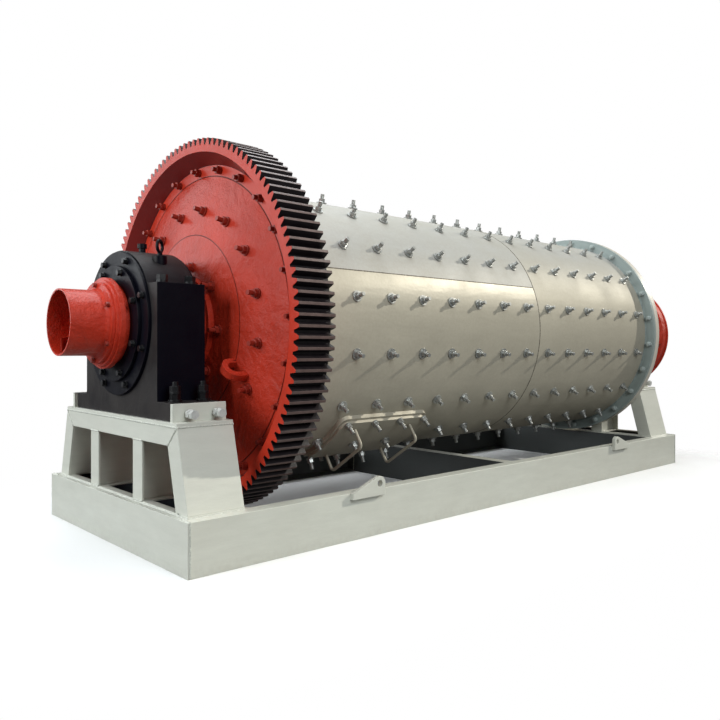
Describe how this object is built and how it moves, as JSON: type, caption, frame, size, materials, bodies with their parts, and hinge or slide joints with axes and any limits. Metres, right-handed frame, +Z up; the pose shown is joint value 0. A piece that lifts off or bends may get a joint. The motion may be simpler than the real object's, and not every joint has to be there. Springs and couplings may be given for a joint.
{
  "type": "ball mill",
  "caption": "Ball mill: bolted steel drum with a ring gear on its feed head, turning in two pedestal bearings on a welded skid, with a feed pipe and a discharge bell.",
  "frame": {"origin": "on the floor, below the middle of the whole mill", "axes": "+X along the mill axis from feed end to discharge end, +Z up"},
  "size_m": [5.432, 1.9998, 2.1],
  "materials": {
    "skid_paint": "off-white gloss paint on welded plate",
    "bearing_paint": "black paint on castings",
    "bearing_steel": "ground steel",
    "red_paint": "orange-red gloss paint on castings",
    "silver_paint": "silver-grey paint on rolled plate",
    "grey_green_paint": "grey-green paint",
    "cream_paint": "cream paint",
    "gear_steel": "orange-red paint on the faces, bare dark steel on the teeth"
  },
  "bodies": {
    "base": {"skid_rail_near": "skid_paint", "skid_rail_far": "skid_paint", "skid_end_plates": "skid_paint", "skid_end_beams": "skid_paint", "skid_cross_beam": "skid_paint", "lifting_lugs": "skid_paint", "feed_pedestal_sole": "skid_paint", "feed_pedestal_legs": "skid_paint", "feed_pedestal_posts": "skid_paint", "feed_pedestal_table": "skid_paint", "feed_stop_plates": "skid_paint", "feed_bearing_base": "bearing_paint", "feed_bearing_cap": "bearing_paint", "feed_bearing_ring": "bearing_steel", "feed_outer_cover": "bearing_paint", "feed_inner_cover": "bearing_paint", "feed_drum_side_cover": "bearing_paint", "feed_oil_cap": "bearing_paint", "feed_eye_bolt": "bearing_paint", "discharge_pedestal_sole": "skid_paint", "discharge_pedestal_legs": "skid_paint", "discharge_pedestal_posts": "skid_paint", "discharge_pedestal_table": "skid_paint", "discharge_stop_plates": "skid_paint", "discharge_bearing_base": "bearing_paint", "discharge_bearing_cap": "bearing_paint", "discharge_bearing_ring": "bearing_steel", "discharge_outer_cover": "bearing_paint", "discharge_inner_cover": "bearing_paint", "discharge_drum_side_cover": "bearing_paint", "discharge_oil_cap": "bearing_paint", "discharge_eye_bolt": "bearing_paint"},
    "drum": {"feed_pipe": "red_paint", "feed_spiral": "red_paint", "feed_trunnion": "red_paint", "feed_head": "red_paint", "feed_head_lug": "red_paint", "ring_gear": "gear_steel", "shell_flange_feed": "red_paint", "shell_course_feed": "silver_paint", "shell_course_discharge": "silver_paint", "shell_flange_discharge": "grey_green_paint", "manhole_frame": "silver_paint", "manhole_cover": "silver_paint", "manhole_handles": "silver_paint", "discharge_head": "cream_paint", "discharge_trunnion": "red_paint", "discharge_bell": "red_paint"}
  },
  "joints": [
    {"name": "drum_spin", "type": "hinge", "parent": "base", "child": "drum", "pos_m": [0, 0, 1.1], "axis": [1, 0, 0], "continuous": true}
  ]
}
